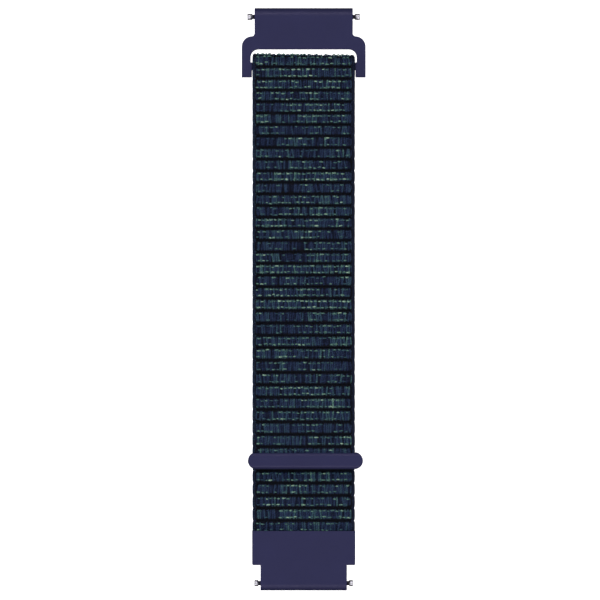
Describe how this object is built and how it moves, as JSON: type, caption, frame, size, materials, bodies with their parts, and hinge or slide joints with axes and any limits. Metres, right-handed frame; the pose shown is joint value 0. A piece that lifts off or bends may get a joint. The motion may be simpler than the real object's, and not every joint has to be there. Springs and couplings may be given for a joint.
{
  "type": "watch band",
  "caption": "Hook-and-loop woven nylon band for a fitness tracker: loop connector, folded strap with tip bar, fixed connector and spring bars, closed and lying flat.",
  "frame": {"origin": "middle of the closed band's width and length, on the surface that its wrist side lies on", "axes": "+X across the band, +Y towards the loop connector, +Z from the wrist side to the outer side"},
  "size_m": [0.0252, 0.1186, 0.005],
  "materials": {
    "woven_nylon": "matte",
    "moulded_polymer": "matte",
    "pin_steel": "satin",
    "spring_wire": "satin",
    "hook_tape": "matte"
  },
  "bodies": {
    "strap_5": {"strap_base_5": "woven_nylon", "strap_top_5": "woven_nylon"},
    "strap_6": {"strap_base_6": "woven_nylon", "strap_top_6": "woven_nylon"},
    "strap_7": {"strap_base_7": "woven_nylon", "strap_top_7": "woven_nylon"},
    "strap_loop_end": {"strap_fold": "woven_nylon"},
    "loop_connector": {"loop_connector": "moulded_polymer"},
    "upper_bar": {"upper_bar_tube": "pin_steel", "upper_bar_spring": "spring_wire"},
    "upper_left_pin": {"upper_bar_left_pin": "pin_steel"},
    "upper_right_pin": {"upper_bar_right_pin": "pin_steel"},
    "strap_4": {"strap_base_4": "woven_nylon", "strap_top_4": "woven_nylon"},
    "strap_3": {"strap_base_3": "woven_nylon"},
    "strap_2": {"strap_base_2": "woven_nylon"},
    "strap_1": {"strap_base_1": "woven_nylon"},
    "tip_a": {"strap_tip_a": "woven_nylon"},
    "tip_b": {"strap_tip_b": "woven_nylon", "hook_tape_b": "hook_tape"},
    "tip_c": {"strap_tip_c": "woven_nylon", "hook_tape_c": "hook_tape", "tip_bar": "moulded_polymer"},
    "fixed_connector": {"fixed_connector_front": "moulded_polymer", "fixed_connector_back": "moulded_polymer", "strap_end_tab": "woven_nylon"},
    "lower_bar": {"lower_bar_tube": "pin_steel", "lower_bar_spring": "spring_wire"},
    "lower_left_pin": {"lower_bar_left_pin": "pin_steel"},
    "lower_right_pin": {"lower_bar_right_pin": "pin_steel"}
  },
  "joints": [
    {"name": "wrist_curl", "type": "hinge", "parent": "strap_5", "child": "strap_6", "pos_m": [0, 0.0111, 0.00165], "axis": [-1, 0, 0], "range_deg": [-8, 26]},
    {"name": "curl_at_joint_6", "type": "hinge", "parent": "strap_6", "child": "strap_7", "pos_m": [0, 0.02275, 0.00165], "axis": [-1, 0, 0], "range_deg": [-8, 26]},
    {"name": "curl_at_joint_7", "type": "hinge", "parent": "strap_7", "child": "strap_loop_end", "pos_m": [0, 0.0344, 0.00165], "axis": [-1, 0, 0], "range_deg": [-8, 26]},
    {"name": "curl_at_joint_4", "type": "hinge", "parent": "strap_5", "child": "strap_4", "pos_m": [0, -0.00055, 0.00165], "axis": [1, 0, 0], "range_deg": [-8, 26]},
    {"name": "curl_at_joint_3", "type": "hinge", "parent": "strap_4", "child": "strap_3", "pos_m": [0, -0.0122, 0.00165], "axis": [1, 0, 0], "range_deg": [-8, 26]},
    {"name": "curl_at_joint_2", "type": "hinge", "parent": "strap_3", "child": "strap_2", "pos_m": [0, -0.02385, 0.00165], "axis": [1, 0, 0], "range_deg": [-8, 26]},
    {"name": "curl_at_joint_1", "type": "hinge", "parent": "strap_2", "child": "strap_1", "pos_m": [0, -0.0355, 0.00165], "axis": [1, 0, 0], "range_deg": [-8, 26]},
    {"name": "curl_at_mouth", "type": "hinge", "parent": "strap_1", "child": "fixed_connector", "pos_m": [0, -0.04715, 0.00235], "axis": [1, 0, 0], "range_deg": [-8, 26]},
    {"name": "tip_peel", "type": "hinge", "parent": "strap_4", "child": "tip_a", "pos_m": [0, -0.0064, 0.00335], "axis": [-1, 0, 0], "range_deg": [0, 100]},
    {"name": "tip_curl_at_joint_3", "type": "hinge", "parent": "tip_a", "child": "tip_b", "pos_m": [0, -0.0122, 0.00165], "axis": [1, 0, 0], "range_deg": [-8, 26]},
    {"name": "tip_curl_at_joint_2", "type": "hinge", "parent": "tip_b", "child": "tip_c", "pos_m": [0, -0.02385, 0.00165], "axis": [1, 0, 0], "range_deg": [-8, 26]},
    {"name": "loop_swing", "type": "hinge", "parent": "strap_loop_end", "child": "loop_connector", "pos_m": [0, 0.0474, 0.0025], "axis": [-1, 0, 0], "range_deg": [-75, 90]},
    {"name": "upper_bar_spin", "type": "hinge", "parent": "loop_connector", "child": "upper_bar", "pos_m": [0, 0.05754, 0.0018], "axis": [1, 0, 0], "continuous": true},
    {"name": "upper_left_pin_press", "type": "slide", "parent": "upper_bar", "child": "upper_left_pin", "axis": [1, 0, 0], "range_m": [0, 0.0012], "stiffness_N_per_m": 400, "springref_m": -0.0005, "deforming": ["upper_bar_spring"]},
    {"name": "upper_right_pin_press", "type": "slide", "parent": "upper_bar", "child": "upper_right_pin", "axis": [-1, 0, 0], "range_m": [0, 0.0012], "stiffness_N_per_m": 400, "springref_m": -0.0005, "deforming": ["upper_bar_spring"]},
    {"name": "lower_bar_spin", "type": "hinge", "parent": "fixed_connector", "child": "lower_bar", "pos_m": [0, -0.05784, 0.0015], "axis": [1, 0, 0], "continuous": true},
    {"name": "lower_left_pin_press", "type": "slide", "parent": "lower_bar", "child": "lower_left_pin", "axis": [1, 0, 0], "range_m": [0, 0.0012], "stiffness_N_per_m": 400, "springref_m": -0.0005, "deforming": ["lower_bar_spring"]},
    {"name": "lower_right_pin_press", "type": "slide", "parent": "lower_bar", "child": "lower_right_pin", "axis": [-1, 0, 0], "range_m": [0, 0.0012], "stiffness_N_per_m": 400, "springref_m": -0.0005, "deforming": ["lower_bar_spring"]}
  ],
  "couplings": [
    {"joint": "curl_at_joint_6", "follows": "wrist_curl", "ratio": 1},
    {"joint": "curl_at_joint_7", "follows": "wrist_curl", "ratio": 1},
    {"joint": "curl_at_joint_4", "follows": "wrist_curl", "ratio": 1},
    {"joint": "curl_at_joint_3", "follows": "wrist_curl", "ratio": 1},
    {"joint": "curl_at_joint_2", "follows": "wrist_curl", "ratio": 1},
    {"joint": "curl_at_joint_1", "follows": "wrist_curl", "ratio": 1},
    {"joint": "curl_at_mouth", "follows": "wrist_curl", "ratio": 1},
    {"joint": "tip_curl_at_joint_3", "follows": "wrist_curl", "ratio": 1},
    {"joint": "tip_curl_at_joint_2", "follows": "wrist_curl", "ratio": 1}
  ]
}
